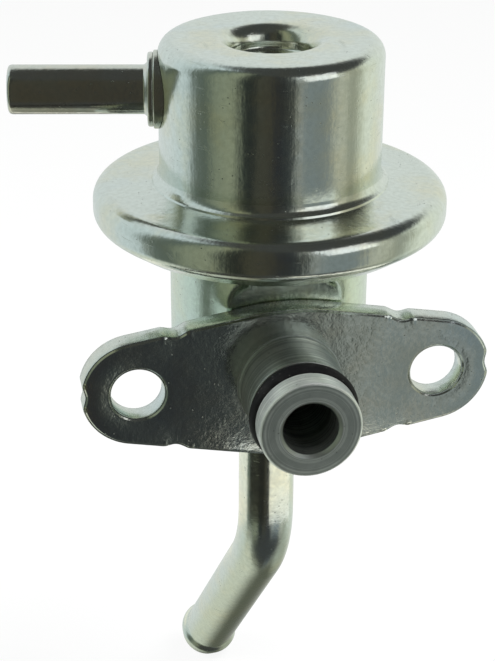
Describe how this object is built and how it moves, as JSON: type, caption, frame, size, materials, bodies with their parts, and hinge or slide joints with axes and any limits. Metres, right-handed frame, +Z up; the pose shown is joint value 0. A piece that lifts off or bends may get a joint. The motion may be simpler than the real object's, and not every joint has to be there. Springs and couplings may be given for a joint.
{
  "type": "fuel pressure regulator",
  "caption": "Diaphragm fuel pressure regulator with a crimped cup body, side vacuum nipple, bent return pipe, flange plate with bolt holes and an O-ring inlet spigot.",
  "frame": {"origin": "where the inlet spigot's axis meets the plate's mounting face", "axes": "-Y out along the inlet spigot, +Z up along the regulator's own axis towards the cup, +X to the right seen from the spigot's end"},
  "size_m": [0.0596, 0.0529, 0.106],
  "materials": {
    "upper_case": "bright zinc plating with a pale green and yellow passivation",
    "vacuum_nipple": "bright zinc plating, turned",
    "nipple_washer": "bright brazing and zinc plating",
    "upper_spring_seat": "plain pressed steel",
    "main_spring": "oil-tempered spring steel",
    "spring_cup": "plain pressed steel",
    "diaphragm": "fabric-backed nitrile rubber",
    "valve_holder": "turned steel",
    "valve_ball": "polished bearing steel with a ground flat",
    "ball_retainer": "plain pressed steel",
    "valve_seat": "turned brass",
    "return_pipe": "bright zinc plating on steel tube",
    "lower_case": "bright zinc plating with a pale green passivation",
    "inlet_spigot": "zinc-plated turned steel",
    "o_ring": "black fluorocarbon rubber, satin",
    "mounting_plate": "bright zinc plating on stamped steel"
  },
  "bodies": {
    "housing": {"upper_case": "upper_case", "vacuum_nipple": "vacuum_nipple", "nipple_washer": "nipple_washer", "upper_spring_seat": "upper_spring_seat", "main_spring": "main_spring", "diaphragm": "diaphragm", "valve_seat": "valve_seat", "return_pipe": "return_pipe", "lower_case": "lower_case", "inlet_spigot": "inlet_spigot", "o_ring": "o_ring", "mounting_plate": "mounting_plate"},
    "valve": {"spring_cup": "spring_cup", "valve_holder": "valve_holder", "valve_ball": "valve_ball", "ball_retainer": "ball_retainer"}
  },
  "joints": [
    {"name": "valve_lift", "type": "slide", "parent": "housing", "child": "valve", "axis": [0, 0, 1], "range_m": [0, 0.0006], "stiffness_N_per_m": 12000, "deforming": ["main_spring", "diaphragm"]}
  ]
}
